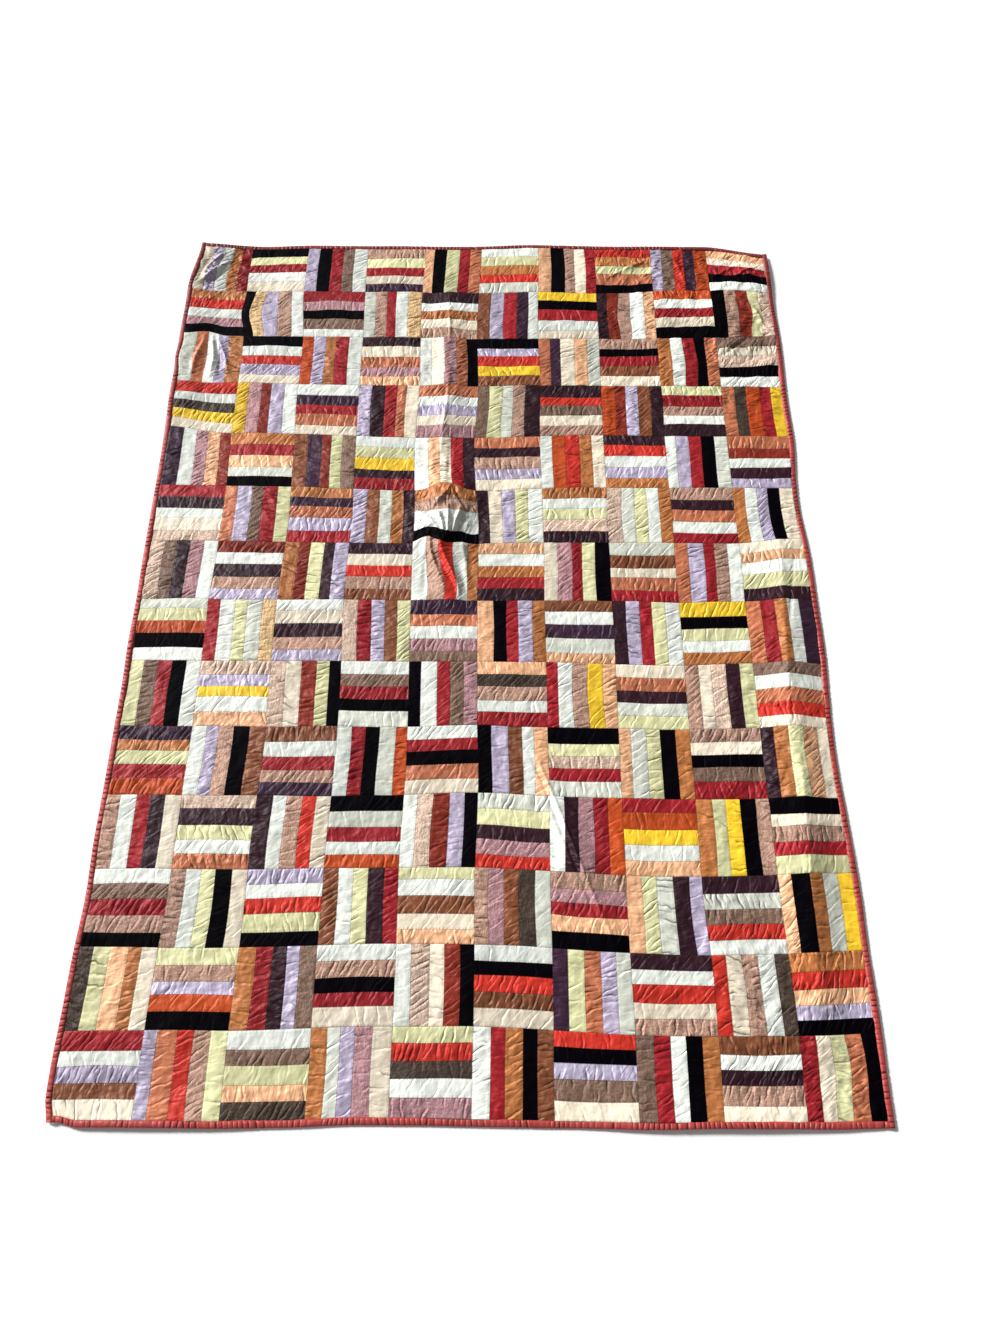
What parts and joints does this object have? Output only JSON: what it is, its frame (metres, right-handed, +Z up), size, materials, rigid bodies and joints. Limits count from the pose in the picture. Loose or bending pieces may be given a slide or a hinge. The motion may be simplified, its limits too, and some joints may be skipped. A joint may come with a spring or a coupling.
{
  "type": "patchwork quilt",
  "caption": "Loose flat bed quilt of square blocks, each of five satin strips running along or across it in turn, with a narrow gathered binding on its edge.",
  "frame": {"origin": "on the floor under the middle of the quilt", "axes": "+Y from the foot to the head along the quilt, +X across it to the right, +Z up"},
  "size_m": [1.5573, 2.1614, 0.0295],
  "materials": {
    "patchwork_satin": "soft sheen satin",
    "binding_satin": "soft sheen satin",
    "backing_cotton": "plain matt cotton"
  },
  "bodies": {
    "root": {"patchwork_sheet": "patchwork_satin", "binding_left": "binding_satin", "binding_right": "binding_satin", "binding_foot": "binding_satin", "binding_head": "binding_satin"}
  },
  "joints": []
}
